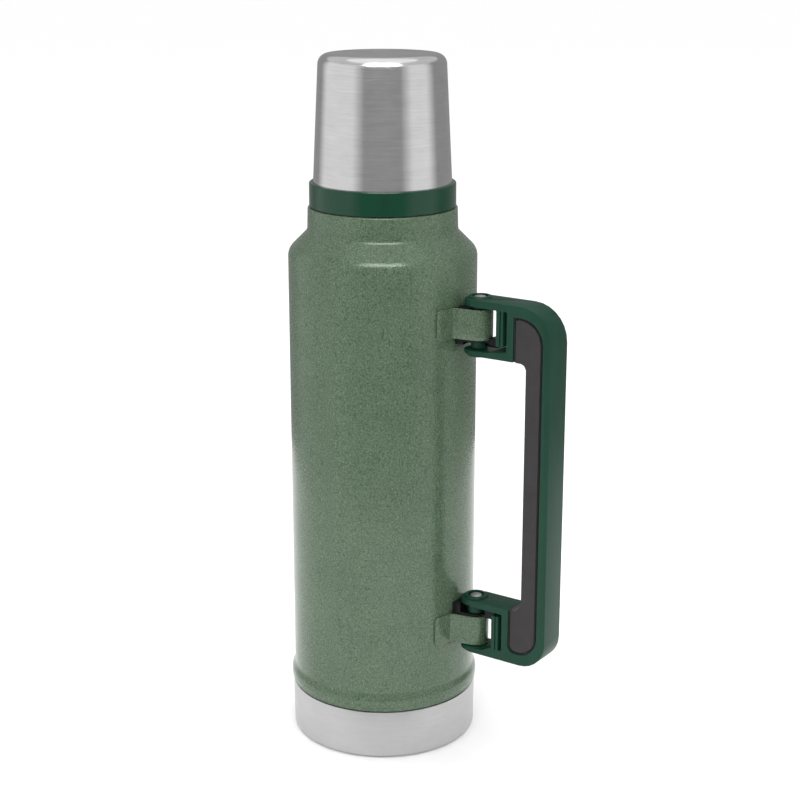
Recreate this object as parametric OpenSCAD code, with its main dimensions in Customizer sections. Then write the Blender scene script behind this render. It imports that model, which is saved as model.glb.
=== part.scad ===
// Vacuum flask of about 1.4 litres: double-walled steel body with a pressed-on base cup, a threaded
// collar, a screw stopper, an insulated drinking cup and a folding side handle on two strap hinges.
// Origin: centre of the face it stands on. +Z is up, and the handle points along +X.

/* [Body] */
// Outer radius of the straight painted wall
body_r = 50; // [48:0.5:52]
// Height where the painted shell meets the steel base cup
seam_z = 27.8; // [24:0.2:32]
// Height where the straight wall ends and the shoulder starts
wall_top_z = 268.2; // [262:0.2:275]
// Wall thickness of the painted outer shell
shell_t = 0.5; // [0.4:0.1:0.8]
// How far the bead above the seam stands out
bead_h = 1.7; // [1:0.1:2.2]

/* [Neck and mouth] */
// Outer radius of the painted neck
neck_r = 39.7; // [38.8:0.1:41]
// Height of the shelf that the collar sits on
shelf_z = 294.2; // [292:0.2:296]
// Radius of the mouth that the stopper closes
mouth_r = 27; // [26.9:0.1:27.4]
// Height of the steel lip around the mouth
lip_z = 318.3; // [317.9:0.1:318.6]

/* [Inner vessel] */
// Outer radius of the vessel that holds the drink
vessel_r = 43.3; // [42:0.1:44.5]
// Underside of the vessel
vessel_bottom_z = 17; // [15:0.5:19]
// Wall thickness of the vessel
vessel_t = 0.4; // [0.3:0.05:0.6]

/* [Base cup] */
// Outer radius at the top of the base cup
base_r = 50.9; // [50.8:0.1:51.2]
// Wall thickness of the base cup
base_t = 0.5; // [0.4:0.1:0.8]

/* [Collar] */
// Height of the top face that the cup closes on
collar_top_z = 307; // [306.6:0.2:307.4]
// Outer radius at the foot of the collar
collar_r = 38.55; // [38:0.05:39]
// Outer radius of the threaded sleeve inside the cup
sleeve_r = 32.9; // [32.6:0.1:33]
// Rise of the cup thread for one turn
cup_pitch = 4.5; // [4:0.5:5]

/* [Cup] */
// Outer radius at the rim of the cup
cup_rim_r = 36.35; // [36.2:0.05:36.8]
// Outer radius just below the rounded top edge
cup_top_r = 33.3; // [33.2:0.1:33.6]
// Height of the flat top
cup_top_z = 372.8; // [372:0.2:376]
// Wall thickness of the steel cup
cup_t = 0.5; // [0.4:0.1:0.6]

/* [Stopper] */
// Crest radius of the stopper's thread, a running fit in the mouth
stopper_thread_r = 26.6; // [26.4:0.1:26.7]
// Rise of the stopper for one turn
stopper_pitch = 6; // [5:0.5:6]
// Height of the stopper's underside
stopper_bottom_z = 262; // [255:1:268]
// Height of the stopper's flat top
stopper_top_z = 350; // [346:1:352]

/* [Handle] */
// Distance from the flask's axis to the hinge pins
pin_x = 60.65; // [60.4:0.05:61]
// Width of the handle across its side faces
handle_w = 16; // [15:0.5:17]
// Distance from the flask's axis to the handle's back
handle_back_x = 107.6; // [105:0.1:110]
// Top face of the handle's upper arm
handle_top_z = 252.8; // [251:0.2:254]
// Bottom face of the handle's lower arm
handle_bottom_z = 58.7; // [57.5:0.2:60]
// Radius of each hinge pin
pin_r = 2.5; // [2.3:0.1:2.7]

/* [Hinge straps] */
// Height of a strap
strap_h = 16.1; // [15:0.1:16.5]
// Underside of the upper strap
upper_strap_z = 231.2; // [231:0.1:231.4]
// Underside of the lower strap
lower_strap_z = 62.3; // [62.2:0.1:62.5]
// Outer radius of the loop around the pin
loop_r = 7; // [6.8:0.1:7.1]
// Thickness of the strap's sheet
strap_t = 1.2; // [1:0.1:1.4]

/* [Hidden] */
$fn = 96;
eps = 0.05;                             // overshoot that keeps cuts clean

// Painted shell: bead, shoulder and neck
bead_low_z = seam_z + 2.4;              // bead's full width starts here
bead_high_z = seam_z + 5.4;             // and ends here
bead_end_z = seam_z + 10.8;             // straight wall starts
shoulder_r = 8;                         // rounding at the top of the straight wall
neck_fillet_r = 4;                      // rounding where the shoulder meets the neck
neck_edge_r = 0.9;                      // rounding at the top of the painted neck
neck_taper = 0.3;
bead_foot = 0.7;                        // how far the line is drawn in at the seam
throat_r = 29.4;                        // outer radius of the shell's throat, inside the collar
weld_z = lip_z - 0.7;                   // the throat is welded to the vessel's lip here

// Shell bottom
bottom_r = body_r - shell_t;            // fits inside the painted shell
bottom_top_z = 44;
bottom_z = 7;
bottom_corner_r = 6;
bottom_press = 3;                       // its middle is pressed up by this much
bottom_press_r = [30, 36];              // between these radii
port_r = 2;                             // the port that the air is drawn out through
plug_head_h = 1;

// Vessel
vessel_corner_r = 10;
vessel_shoulder_z = wall_top_z - 4;
vessel_shoulder_r = 8;
vessel_neck_r = mouth_r + vessel_t;
vessel_neck_fillet_r = 5;
lip_r = 30.8;
foil_gap = 0.5;
foil_t = 0.15;
foil_z = [vessel_bottom_z + 12, vessel_shoulder_z - 4];
getter_r = [5, 9];
getter_h = 2.5;

// Base cup
base_foot_r = 2.2;                      // rounding at the bottom edge
base_foot_w = 7;                        // width of the ring it stands on
base_slope = [4, 1];                    // the pressed middle starts between these, inside that ring
base_recess = 2.6;                      // how far the middle is pressed up
base_taper = 0.25;

// Collar
collar_taper = 0.3;
collar_edge = 0.7;
sleeve_chamfer = 0.8;
collar_thread_z = collar_top_z + 2;
collar_thread_turns = 0.8;              // of each of its two starts
collar_thread_w = [2.2, 1];             // width at its root and at its crest

// Cup
cup_edge_r = 5.5;                       // rounding of the top edge
cup_gap = 0.1;                          // rim's clearance over the collar
cup_side = (cup_rim_r - cup_top_r) / (cup_top_z - cup_edge_r - collar_top_z);
// Radius of the cup's outside at height z, below its rounded edge
function cup_r_at(z) = cup_rim_r - (z - collar_top_z) * cup_side;
liner_t = 1.2;
liner_step_z = lip_z + 2;               // its threaded part ends here
liner_top_z = cup_top_z - 5;
liner_bore_r = cup_r_at(liner_step_z + liner_t) - cup_t - liner_t;
liner_gap = [3.2, 6.4];                 // from the cup's wall to its upper part, at the step and the top
liner_top_r = 4;
thread_gap = 0.3;                       // between the collar's thread and the liner
seal_h = 1.6;
seal_w = 1.1;

// Stopper
stopper_root_r = 25.2;
stopper_tip_r = 23.6;
stopper_tip_chamfer = 1;
stopper_wall = 2;
stopper_flange_r = 30.6;
stopper_flange_h = 5;
gasket_h = 1.7;
gasket_r = [27.2, 30.2];
flange_z = lip_z + gasket_h;
tip_end_z = 292;                        // the plug is at its full width from here up
stopper_thread_z = 298;
stopper_thread_turns = 2.2;
stopper_thread_w = [3.2, 1.6];          // width at its root and at its crest
pour_w = 9;                             // width of the pouring channel in the thread
floor_t = 2;
foam_gap = 0.1;
foam_top_z = 333;
knob_z = flange_z + stopper_flange_h;
knob_r = 29.2;
knob_t = 2.4;
knob_edge_r = 3;
flutes = 12;
flute_r = 4;
flute_depth = 1.3;
flute_z = knob_z + 2;

// Handle forks: [top face, underside] of each ear, and of the round boss on it
upper_fork = [[handle_top_z, 249], [227.8, 223.5]];
lower_fork = [[88.4, 85], [63.9, handle_bottom_z]];
upper_bosses = [[handle_top_z + 1, 249], [226, 222.2]];
lower_bosses = [[89.5, 85], [61.6, 57.6]];
boss_r = 7.8;
web_x = [81.5, 85.4];                   // the wall that closes each fork
ear_reach = 6;                          // an ear's plate ends this far from the pin, inside the boss
ear_thin = 1;                           // and it is thinner there than the boss, by this much on each face
ear_taper_w = 8;                        // length of its full-thickness root
leaf_x = [75.2, 79.3];                  // the detent leaf inside each fork
leaf_groove_x = [77.3, 77.9];           // a groove down each side of the leaf
leaf_groove_depth = 1.5;
leaf_end_z = [upper_fork[1][0] + 2.5, lower_fork[0][1] - 2];
nose_r = 1.2;                           // the ridge on the leaf's free end
nose_proud = 0.6;
nose_h = 2.4;
ear_slot = [72, 13.6];                  // opening in the upper fork's lower ear: its start, its width
back_t = 4.9;                           // thickness of the frame behind the grip
top_t = 5.9;                            // thickness of the frame above the grip
grip_x = 93.1;                          // hand side of the grip
corner_top_r = 19;
corner_bottom_r = 15;
grip_top_r = 13;
grip_bottom_r = 11;
grip_toe_r = 4;
grip_fillet_top_r = 3.6;
grip_fillet_bottom_r = 6.6;
key_w = 4;                              // the frame's rib that keys the grip
key_depth = 3.4;
key_margin = 12;

// Hinge pins and bushings
head_r = 3.2;
head_h = 1.9;
head_gap = 1.1;                         // width of the open ring around a head
head_sink = 0.2;                        // depth of the heads below the bosses' faces
bushing_r = 4.35;
bushing_bore_r = pin_r + 0.06;
end_play = 0.3;
insert_proud = 1.3;                     // the insert stands out of its strap by this much
cam_root = [54.8, 14];                  // the full-height root of its cam: its end, its width
cam_w = 6;                              // the insert's cam, which the leaf's ridge rides on
cam_reach = 13.5;
cam_bar_end = 1;                        // its bar stops this far short of that
cam_gap = 0.3;                          // clearance to the ears and the loop
cam_rise = [1.4, 0.2];                  // how far its outer end rises beside the loop
cam_notch_r = 1.4;
cam_notch = 0.4;

// Straps
flange_a = [10, 22.4];                  // the flange's ends, as angles around the flask
strap_root = [49.4, 8.9];               // where a side wall reaches the flask
flange_corner_r = 2.4;
flange_extra = 1;                       // the flange is this much longer than the arc between them
flange_sink = 3;                        // its blank starts this far inside the flask's wall
flange_blank = 8;                       // and is this thick, before it is cut to the sheet's thickness
wall_sink = 4;                          // the side walls are drawn on into the flask, then trimmed
insert_gap = 0.05;

function arc(cx, cy, r, a0, a1, n) =
    [for (i = [0:n]) let (a = a0 + (a1 - a0) * i / n) [cx + r * cos(a), cy + r * sin(a)]];
function reversed(list) = [for (i = [len(list) - 1:-1:0]) list[i]];
function mirrored(list) = [for (p = reversed(list)) [p[0], -p[1]]];

// A wall of revolution between two lines that run the same way
module wall(outside, inside) {
    rotate_extrude() polygon(concat(outside, reversed(inside)));
}

module ring(r_out, r_in, z0, z1) {
    difference() {
        translate([0, 0, z0]) cylinder(r = r_out, h = z1 - z0);
        translate([0, 0, z0 - 1]) cylinder(r = r_in, h = z1 - z0 + 2);
    }
}

// A helical ridge whose ends run out into the core it stands on
module thread(core_r, crest_r, pitch, turns, start_z, width) {
    per_turn = 36;
    run_out = 6;                        // steps over which its ends rise
    sink = 0.3;                         // depth of its foot in the core
    steps = round(turns * per_turn);
    points = [
        for (i = [0:steps])
            let (
                a = i * 360 / per_turn,
                z = start_z + pitch * i / per_turn,
                grow = min(1, (i + 0.5) / run_out, (steps - i + 0.5) / run_out),
                r = core_r + (crest_r - core_r) * grow
            )
            for (p = [[core_r - sink, -width[0]], [r, -width[1]], [r, width[1]], [core_r - sink, width[0]]])
                [p[0] * cos(a), p[0] * sin(a), z + p[1] / 2]
    ];
    sides = [
        for (i = [0:steps - 1]) for (k = [0:3])
            let (a = i * 4 + k, b = i * 4 + (k + 1) % 4)
            for (f = [[a, b, b + 4], [a, b + 4, a + 4]]) f
    ];
    last = steps * 4;
    polyhedron(
        points = points,
        faces = concat([[3, 2, 1], [3, 1, 0]], sides,
                       [[last, last + 1, last + 2], [last, last + 2, last + 3]]),
        convexity = 6
    );
}

// The painted shell's line, from the seam up to the shelf, moved inwards by t
function shell_line(t) = concat(
    [[body_r + bead_h - bead_foot - t, seam_z], [body_r + bead_h - t, bead_low_z]],
    [for (i = [0:8])
        let (f = (1 + cos(180 * i / 8)) / 2)
        [body_r + bead_h * f - t, bead_high_z + (bead_end_z - bead_high_z) * i / 8]],
    arc(body_r - shoulder_r, wall_top_z, shoulder_r - t, 0, 45, 8),
    arc(neck_r + neck_fillet_r, shoulder_end_z, neck_fillet_r + t, 225, 180, 5),
    arc(neck_r - neck_taper - neck_edge_r, shelf_z - neck_edge_r, neck_edge_r - t, 0, 90, 4)
);
shoulder_end_z = wall_top_z + shoulder_r * sin(45) + (body_r - shoulder_r * (1 - cos(45)) - neck_r)
    + neck_fillet_r * (2 * sin(45) - 1);

module outer_shell() {
    color("darkseagreen")
    wall(
        concat(shell_line(0), [[throat_r, shelf_z], [throat_r, weld_z]]),
        concat(shell_line(shell_t), [[throat_r - shell_t, shelf_z - shell_t], [throat_r - shell_t, weld_z]])
    );
}

// Line of the drawn cup that closes the shell's lower end
function bottom_line(t) = concat(
    [[0, bottom_z + bottom_press + t], [bottom_press_r[0], bottom_z + bottom_press + t]],
    [[bottom_press_r[1], bottom_z + t]],
    arc(bottom_r - bottom_corner_r, bottom_z + bottom_corner_r, bottom_corner_r - t, 270, 360, 6),
    [[bottom_r - t, bottom_top_z]]
);

module outer_bottom() {
    color("lightgray")
    difference() {
        wall(bottom_line(0), bottom_line(shell_t));
        translate([0, 0, bottom_z]) cylinder(r = port_r, h = 2 * bottom_press);
    }
}

module vacuum_plug() {
    color("dimgray")
    union() {
        translate([0, 0, bottom_z + bottom_press]) cylinder(r = port_r, h = shell_t);
        translate([0, 0, bottom_z + bottom_press - plug_head_h]) cylinder(r = port_r * 2, h = plug_head_h);
    }
}

// The vessel's line, from the middle of its bottom to the mouth, moved inwards by t
function vessel_line(t) = concat(
    [[0, vessel_bottom_z + t]],
    arc(vessel_r - vessel_corner_r, vessel_bottom_z + vessel_corner_r, vessel_corner_r - t, 270, 360, 8),
    arc(vessel_r - vessel_shoulder_r, vessel_shoulder_z, vessel_shoulder_r - t, 0, 45, 6),
    arc(vessel_neck_r + vessel_neck_fillet_r, vessel_neck_z, vessel_neck_fillet_r + t, 225, 180, 5)
);
vessel_neck_z = vessel_shoulder_z + vessel_shoulder_r * sin(45)
    + (vessel_r - vessel_shoulder_r * (1 - cos(45)) - vessel_neck_r)
    + vessel_neck_fillet_r * (2 * sin(45) - 1);

module inner_vessel() {
    color("silver")
    wall(
        concat(vessel_line(0), [[vessel_neck_r, weld_z], [lip_r, weld_z]]),
        concat(vessel_line(vessel_t), [[mouth_r, lip_z], [lip_r, lip_z]])
    );
}

module radiation_foil() {
    color("goldenrod")
    ring(vessel_r + foil_gap + foil_t, vessel_r + foil_gap, foil_z[0], foil_z[1]);
}

module getter() {
    color("dimgray")
    ring(getter_r[1], getter_r[0], vessel_bottom_z - getter_h, vessel_bottom_z);
}

// Line of the base cup, from the middle of its underside to the rim, moved inwards by t
function base_line(t) = concat(
    [[0, base_recess + t]],
    [[base_r - base_foot_w - base_slope[0], base_recess + t], [base_r - base_foot_w - base_slope[1], t]],
    arc(base_r - base_taper - base_foot_r, base_foot_r, base_foot_r - t, 270, 360, 6),
    [[base_r - t, seam_z]]
);

module base_cup() {
    color("silver")
    wall(base_line(0), base_line(base_t));
}

module collar() {
    color("darkgreen")
    union() {
        rotate_extrude() polygon(concat(
            [[throat_r, shelf_z], [collar_r - collar_edge, shelf_z]],
            [[collar_r, shelf_z + collar_edge]],
            arc(collar_r - collar_taper - collar_edge, collar_top_z - collar_edge, collar_edge, 0, 90, 4),
            [[sleeve_r, collar_top_z], [sleeve_r, weld_z - sleeve_chamfer]],
            [[sleeve_r - sleeve_chamfer, weld_z], [throat_r, weld_z]]
        ));
        for (start = [0, 180]) rotate(start)
            thread(sleeve_r, liner_bore_r - thread_gap, cup_pitch * 2, collar_thread_turns,
                   collar_thread_z, collar_thread_w);
    }
}

// Half of a strap's outline in plan, from the flask round to the tip of its loop, moved inwards by t
root_reach = [strap_root[0] - pin_x, strap_root[1]];
root_tangent = atan2(root_reach[1], root_reach[0]) - acos(loop_r / norm(root_reach));
wall_dir = [-sin(root_tangent), cos(root_tangent)];
function strap_half(t) = concat(
    [strap_root - t * [cos(root_tangent), sin(root_tangent)] + wall_sink * wall_dir],
    arc(pin_x, 0, loop_r - t, root_tangent, 0, 12)
);
function strap_outline(t) = concat(strap_half(t), mirrored(strap_half(t)));

// Outline of a rectangle centred on the origin, with rounded corners
function rounded_rect(w, h, r) = concat(
    arc(w / 2 - r, h / 2 - r, r, 0, 90, 4),
    arc(r - w / 2, h / 2 - r, r, 90, 180, 4),
    arc(r - w / 2, r - h / 2, r, 180, 270, 4),
    arc(w / 2 - r, r - h / 2, r, 270, 360, 4)
);

module strap_flange(side) {
    middle = (flange_a[0] + flange_a[1]) / 2;
    length = body_r * (flange_a[1] - flange_a[0]) * PI / 180 + flange_extra;
    intersection() {
        ring(body_r + strap_t, body_r, 0, strap_h);
        rotate(side * middle) translate([body_r - flange_sink, 0, strap_h / 2]) rotate([90, 0, 90])
            linear_extrude(flange_blank) polygon(rounded_rect(length, strap_h, flange_corner_r));
    }
}

module strap() {
    union() {
        difference() {
            linear_extrude(strap_h) polygon(strap_outline(0));
            translate([0, 0, -1]) linear_extrude(strap_h + 2) polygon(strap_outline(strap_t));
            translate([0, 0, -1]) cylinder(r = body_r, h = strap_h + 2);
        }
        for (side = [-1, 1]) strap_flange(side);
    }
}

module upper_bracket() {
    color("darkseagreen") translate([0, 0, upper_strap_z]) strap();
}

module lower_bracket() {
    color("darkseagreen") translate([0, 0, lower_strap_z]) strap();
}

// Cam that stands out of an insert: a root, a bar past the strap's edge, and an end beside the loop
module hinge_cam(root_z, bar_z, end_z) {
    union() {
        translate([strap_root[0], -cam_root[1] / 2, root_z[0]])
            cube([cam_root[0] - strap_root[0], cam_root[1], root_z[1] - root_z[0]]);
        translate([strap_root[0], -cam_w / 2, bar_z[0]])
            cube([pin_x + cam_reach - cam_bar_end - strap_root[0], cam_w, bar_z[1] - bar_z[0]]);
        intersection() {
            translate([pin_x, 0, end_z[0]]) cylinder(r = cam_reach, h = end_z[1] - end_z[0]);
            translate([pin_x + loop_r + cam_gap, -cam_w / 2, end_z[0]])
                cube([cam_reach, cam_w, end_z[1] - end_z[0]]);
        }
    }
}

// Moulded block that fills a strap and holds its bushing, with its cam
module hinge_insert(block_z, root_z, bar_z, end_z) {
    low = min(block_z[0], root_z[0], end_z[0]) - 1;
    high = max(block_z[1], root_z[1], end_z[1]) + 1;
    difference() {
        union() {
            translate([0, 0, block_z[0]]) linear_extrude(block_z[1] - block_z[0])
                polygon(strap_outline(strap_t + insert_gap));
            hinge_cam(root_z, bar_z, end_z);
        }
        translate([0, 0, low]) cylinder(r = body_r + insert_gap, h = high - low);
        translate([pin_x, 0, low]) cylinder(r = bushing_r, h = high - low);
        translate([pin_x + cam_reach + cam_notch_r - cam_notch, 0, low])
            cylinder(r = cam_notch_r, h = high - low);
    }
}

module upper_hinge_insert() {
    low = upper_fork[1][0] + cam_gap;
    face = upper_strap_z - insert_gap;
    block_low = upper_strap_z - insert_proud;
    color("darkslategray")
    hinge_insert([block_low, upper_strap_z + strap_h], [low, face], [block_low, face],
                 [low, upper_strap_z + cam_rise[0]]);
}

module lower_hinge_insert() {
    strap_top = lower_strap_z + strap_h;
    high = lower_fork[0][1] - cam_gap;
    face = strap_top + insert_gap;
    block_high = strap_top + insert_proud;
    color("darkslategray")
    hinge_insert([lower_strap_z, block_high], [face, high], [face, block_high],
                 [strap_top - cam_rise[1], high]);
}

module bushing(bosses) {
    translate([pin_x, 0, 0])
        ring(bushing_r, bushing_bore_r, bosses[1][0] + end_play, bosses[0][1] - end_play);
}

module upper_bushing() {
    color("darkgreen") bushing(upper_bosses);
}

module lower_bushing() {
    color("darkgreen") bushing(lower_bosses);
}

// Extrudes a side view, drawn as [x, z] points, to a width across Y
module from_side(width) {
    rotate([90, 0, 0]) linear_extrude(width, center = true) children();
}

// Side view of the grip's outer edge, from its upper toe round the back to its lower toe
function grip_back() = concat(
    [[web_x[1], handle_top_z - top_t]],
    arc(handle_back_x - back_t - grip_top_r, handle_top_z - top_t - grip_top_r, grip_top_r, 90, 0, 10),
    arc(handle_back_x - back_t - grip_bottom_r, handle_bottom_z + top_t + grip_bottom_r, grip_bottom_r,
        0, -90, 10),
    arc(web_x[1] + grip_toe_r, handle_bottom_z + top_t + grip_toe_r, grip_toe_r, 270, 180, 6)
);

// Side view of the hand side of the grip, from its lower toe up to its upper toe
function grip_front() = concat(
    [[web_x[1], lower_fork[0][0]]],
    arc(grip_x - grip_fillet_bottom_r, lower_fork[0][0] + grip_fillet_bottom_r, grip_fillet_bottom_r,
        270, 360, 6),
    arc(grip_x - grip_fillet_top_r, upper_fork[1][1] - grip_fillet_top_r, grip_fillet_top_r, 0, 90, 5),
    [[web_x[1], upper_fork[1][1]]]
);

module grip_key() {
    from_side(key_w) translate([handle_back_x - back_t - key_depth, handle_bottom_z + top_t + key_margin])
        square([key_depth + eps, handle_top_z - handle_bottom_z - 2 * (top_t + key_margin)]);
}

module grip() {
    color("dimgray")
    difference() {
        from_side(handle_w) polygon(concat(grip_back(), grip_front()));
        grip_key();
    }
}

// Side view of the frame's outside, with its two corners rounded
function frame_outline() = concat(
    arc(handle_back_x - corner_top_r, handle_top_z - corner_top_r, corner_top_r, 90, 0, 12),
    arc(handle_back_x - corner_bottom_r, handle_bottom_z + corner_bottom_r, corner_bottom_r, 0, -90, 12),
    [[web_x[0], handle_bottom_z], [web_x[0], lower_fork[0][0]]],
    [[web_x[1], lower_fork[0][0]]],
    reversed(grip_back()),
    [[web_x[1], upper_fork[1][1]], [web_x[0], upper_fork[1][1]], [web_x[0], handle_top_z]]
);

// One ear of a fork: a plate out to the pin, with a round boss
module ear(ear_z, boss_z) {
    union() {
        from_side(handle_w) polygon([
            [pin_x + ear_reach, boss_z[1] + ear_thin], [pin_x + ear_reach, boss_z[0] - ear_thin],
            [web_x[0] - ear_taper_w, ear_z[0]], [web_x[0] + eps, ear_z[0]],
            [web_x[0] + eps, ear_z[1]], [web_x[0] - ear_taper_w, ear_z[1]]
        ]);
        translate([pin_x, 0, boss_z[1]]) cylinder(r = boss_r, h = boss_z[0] - boss_z[1]);
    }
}

// Detent leaf that stands on one ear of a fork, with a ridge on its free end
module detent_leaf(root_z, end_z) {
    way = sign(end_z - root_z);
    union() {
        from_side(handle_w) polygon([
            [leaf_x[0], root_z - way * eps], [leaf_x[1], root_z - way * eps],
            [leaf_x[1], end_z], [leaf_x[0], end_z]
        ]);
        translate([leaf_x[0] + nose_r - nose_proud, 0, min(end_z, end_z - way * nose_h)])
            cylinder(r = nose_r, h = nose_h);
    }
}

// The grooves down both sides of a leaf
module leaf_grooves(root_z, end_z) {
    way = sign(end_z - root_z);
    low = min(root_z, end_z + way);
    for (side = [-1, 1]) translate([leaf_groove_x[0], side * handle_w / 2 - leaf_groove_depth, low])
        cube([leaf_groove_x[1] - leaf_groove_x[0], 2 * leaf_groove_depth, abs(end_z + way - root_z)]);
}

module pin_bores(bosses) {
    low = bosses[1][1];
    high = bosses[0][0];
    translate([pin_x, 0, low - 1]) cylinder(r = pin_r, h = high - low + 2);
    for (z = [low - 1, high - head_h]) translate([pin_x, 0, z])
        cylinder(r = head_r + head_gap, h = head_h + 1);
}

module handle_frame() {
    color("darkgreen")
    difference() {
        union() {
            from_side(handle_w) polygon(frame_outline());
            grip_key();
            for (i = [0, 1]) {
                ear(upper_fork[i], upper_bosses[i]);
                ear(lower_fork[i], lower_bosses[i]);
            }
            detent_leaf(upper_fork[0][1], leaf_end_z[0]);
            detent_leaf(lower_fork[1][0], leaf_end_z[1]);
        }
        leaf_grooves(upper_fork[0][1], leaf_end_z[0]);
        leaf_grooves(lower_fork[1][0], leaf_end_z[1]);
        pin_bores(upper_bosses);
        pin_bores(lower_bosses);
        translate([ear_slot[0], -ear_slot[1] / 2, upper_fork[1][1] - 1])
            cube([web_x[0] - ear_slot[0], ear_slot[1], upper_fork[1][0] - upper_fork[1][1] + 2]);
    }
}

module hinge_pin(bosses) {
    low = bosses[1][1];
    high = bosses[0][0];
    translate([pin_x, 0, 0]) union() {
        translate([0, 0, low + head_sink]) cylinder(r = pin_r, h = high - low - 2 * head_sink);
        for (z = [low + head_sink, high - head_h]) translate([0, 0, z])
            cylinder(r = head_r, h = head_h - head_sink);
    }
}

module upper_hinge_pin() {
    color("gainsboro") hinge_pin(upper_bosses);
}

module lower_hinge_pin() {
    color("gainsboro") hinge_pin(lower_bosses);
}

// The cup's line, from the rim up to the middle of its top, moved inwards by t
function cup_line(t, rim_z) = concat(
    [[cup_r_at(rim_z) - t, rim_z]],
    arc(cup_r_at(cup_top_z - cup_edge_r) - cup_edge_r, cup_top_z - cup_edge_r, cup_edge_r - t, 3, 90, 8),
    [[0, cup_top_z - t]]
);

module cup_shell() {
    color("silver")
    wall(cup_line(0, collar_top_z + cup_gap), cup_line(cup_t, collar_top_z + cup_gap));
}

// The upper part of the liner's line, from its step up to the middle of its top, moved outwards by t
function liner_dome(t) = concat(
    [[cup_r_at(liner_step_z) - cup_t - liner_gap[0] + t, liner_step_z + t]],
    arc(cup_r_at(liner_top_z) - cup_t - liner_gap[1], liner_top_z - liner_top_r, liner_top_r + t, 3, 90, 6),
    [[0, liner_top_z + t]]
);

// The whole of the liner's line, from its rim
function liner_line(t) = concat(
    [[liner_bore_r + t, collar_top_z + seal_h], [liner_bore_r + t, liner_step_z + t]],
    liner_dome(t)
);

module cup_liner() {
    color("gainsboro")
    wall(liner_line(liner_t), liner_line(0));
}

// Foam between the cup and its liner, above the liner's threaded part
module cup_foam() {
    color("khaki")
    wall(cup_line(cup_t, liner_step_z + liner_t), liner_dome(liner_t));
}

module cup_seal_ring() {
    color("dimgray")
    ring(liner_bore_r + seal_w, liner_bore_r, collar_top_z, collar_top_z + seal_h);
}

module stopper_body() {
    color("darkgreen")
    difference() {
        union() {
            rotate_extrude() polygon([
                [stopper_tip_r - stopper_wall, stopper_bottom_z],
                [stopper_tip_r - stopper_tip_chamfer, stopper_bottom_z],
                [stopper_tip_r, stopper_bottom_z + stopper_tip_chamfer],
                [stopper_root_r, tip_end_z],
                [stopper_root_r, flange_z],
                [stopper_flange_r, flange_z],
                [stopper_flange_r, knob_z],
                [stopper_root_r - stopper_wall, knob_z],
                [stopper_root_r - stopper_wall, tip_end_z]
            ]);
            thread(stopper_root_r, stopper_thread_r, stopper_pitch, stopper_thread_turns,
                   stopper_thread_z, stopper_thread_w);
        }
        translate([stopper_root_r, -pour_w / 2, tip_end_z])
            cube([stopper_flange_r - stopper_root_r, pour_w, lip_z - tip_end_z]);
    }
}

// Knob on top of the stopper, with flutes for the fingers
module stopper_cap() {
    color("darkgreen")
    difference() {
        rotate_extrude() polygon(concat(
            [[0, stopper_top_z - knob_t], [knob_r - 2 * knob_t, stopper_top_z - knob_t]],
            [[knob_r - 1.5 * knob_t, stopper_top_z - 2 * knob_t]],
            [[knob_r - knob_t, knob_z], [knob_r, knob_z]],
            arc(knob_r - knob_edge_r, stopper_top_z - knob_edge_r, knob_edge_r, 0, 90, 5),
            [[0, stopper_top_z]]
        ));
        for (i = [0:flutes - 1]) rotate(i * 360 / flutes)
            translate([knob_r + flute_r - flute_depth, 0, flute_z])
                cylinder(r = flute_r, h = stopper_top_z - knob_z);
    }
}

module stopper_foam() {
    color("khaki")
    rotate_extrude() polygon([
        [0, stopper_bottom_z + floor_t + foam_gap],
        [stopper_tip_r - stopper_wall - foam_gap, stopper_bottom_z + floor_t + foam_gap],
        [stopper_root_r - stopper_wall - foam_gap, tip_end_z],
        [stopper_root_r - stopper_wall - foam_gap, foam_top_z],
        [0, foam_top_z]
    ]);
}

module stopper_floor() {
    color("darkgreen")
    translate([0, 0, stopper_bottom_z]) cylinder(r = stopper_tip_r - stopper_wall, h = floor_t);
}

module stopper_gasket() {
    color("dimgray")
    ring(gasket_r[1], gasket_r[0], lip_z, flange_z);
}

outer_shell();
outer_bottom();
vacuum_plug();
inner_vessel();
radiation_foil();
getter();
base_cup();
collar();
upper_bracket();
lower_bracket();
upper_hinge_insert();
lower_hinge_insert();
upper_bushing();
lower_bushing();
handle_frame();
grip();
upper_hinge_pin();
lower_hinge_pin();
cup_shell();
cup_liner();
cup_foam();
cup_seal_ring();
stopper_body();
stopper_cap();
stopper_foam();
stopper_floor();
stopper_gasket();
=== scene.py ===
import math

import bmesh
import bpy
from mathutils import Matrix, Vector


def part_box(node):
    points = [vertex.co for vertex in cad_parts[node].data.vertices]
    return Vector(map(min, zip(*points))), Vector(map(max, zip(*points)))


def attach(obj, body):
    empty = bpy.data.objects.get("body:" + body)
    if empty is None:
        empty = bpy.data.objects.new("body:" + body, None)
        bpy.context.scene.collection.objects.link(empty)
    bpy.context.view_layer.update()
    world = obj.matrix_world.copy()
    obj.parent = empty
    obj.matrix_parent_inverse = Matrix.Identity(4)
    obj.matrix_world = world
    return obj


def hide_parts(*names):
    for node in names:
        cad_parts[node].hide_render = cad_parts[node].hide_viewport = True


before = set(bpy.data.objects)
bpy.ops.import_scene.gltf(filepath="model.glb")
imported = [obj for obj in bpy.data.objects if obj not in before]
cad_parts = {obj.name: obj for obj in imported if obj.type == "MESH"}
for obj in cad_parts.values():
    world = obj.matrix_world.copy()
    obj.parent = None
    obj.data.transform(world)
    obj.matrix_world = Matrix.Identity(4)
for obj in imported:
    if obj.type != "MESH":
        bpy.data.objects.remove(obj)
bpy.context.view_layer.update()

MM = 0.001          # outlines are written in millimetres
ROUND = 192         # segments round a turned piece


# ---------------------------------------------------------------- outlines, in millimetres

def box(node):
    """Lowest and highest corner of a CAD node, in millimetres."""
    low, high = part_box(node)
    return low / MM, high / MM


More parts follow.
